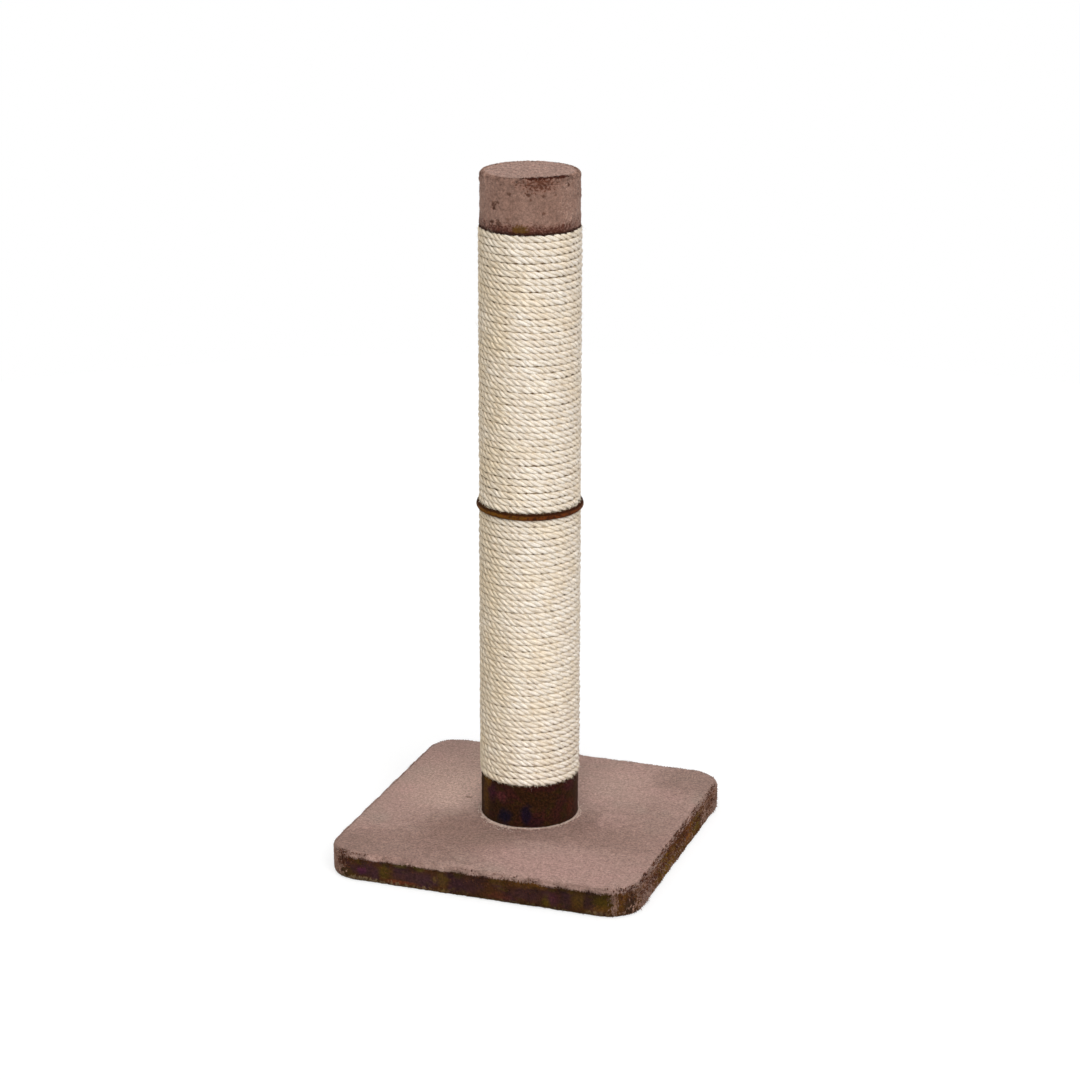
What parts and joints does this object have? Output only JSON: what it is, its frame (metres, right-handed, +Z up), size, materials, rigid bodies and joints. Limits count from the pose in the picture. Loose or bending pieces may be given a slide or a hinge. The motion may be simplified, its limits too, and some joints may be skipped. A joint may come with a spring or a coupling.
{
  "type": "cat scratching post",
  "caption": "Free-standing cat scratching post: a square plush-covered base and a rope-wound post with a plush cap, in sections that screw together.",
  "frame": {"origin": "centre of the base's underside, on the floor", "axes": "+Z up along the post, +X to the right along the base's front edge, -Y towards the front"},
  "size_m": [0.4826, 0.4826, 1.0414],
  "materials": {
    "taupe_plush": "matte",
    "dark_plush": "matte",
    "sisal_rope": "matte",
    "brown_cord": "matte",
    "grey_felt": "matte",
    "board_wood": "matte",
    "plug_wood": "matte",
    "kraft_tube": "matte",
    "zinc_steel": "satin"
  },
  "bodies": {
    "base_and_lower_section": {"base_lower_board": "board_wood", "base_upper_board": "board_wood", "base_board_screws": "zinc_steel", "base_underside_felt": "grey_felt", "base_side_plush": "dark_plush", "base_top_plush": "taupe_plush", "base_cover_staples": "zinc_steel", "base_bolts": "zinc_steel", "base_washers": "zinc_steel", "lower_tube": "kraft_tube", "lower_foot_plug": "plug_wood", "lower_foot_tee_nuts": "zinc_steel", "lower_foot_plug_nails": "zinc_steel", "lower_head_plug": "plug_wood", "lower_head_tee_nut": "zinc_steel", "lower_head_plug_nails": "zinc_steel", "lower_collar_plush": "dark_plush", "lower_rope": "sisal_rope", "lower_rope_staples": "zinc_steel", "joint_stud": "zinc_steel"},
    "ring": {"joint_ring": "brown_cord"},
    "upper_section": {"upper_tube": "kraft_tube", "upper_foot_plug": "plug_wood", "upper_foot_tee_nut": "zinc_steel", "upper_foot_plug_nails": "zinc_steel", "upper_head_plug": "plug_wood", "upper_head_plug_nails": "zinc_steel", "upper_rope": "sisal_rope", "upper_rope_staples": "zinc_steel", "cap_side_plush": "taupe_plush", "cap_top_plush": "taupe_plush"}
  },
  "joints": [
    {"name": "unscrew_turn", "type": "hinge", "parent": "base_and_lower_section", "child": "ring", "pos_m": [0, 0, 0.54095], "axis": [0, 0, 1], "range_deg": [0, 5760]},
    {"name": "unscrew_lift", "type": "slide", "parent": "ring", "child": "upper_section", "axis": [0, 0, 1], "range_m": [0, 0.024]}
  ],
  "couplings": [
    {"joint": "unscrew_lift", "follows": "unscrew_turn", "m_per_rad": 0.00023873}
  ]
}
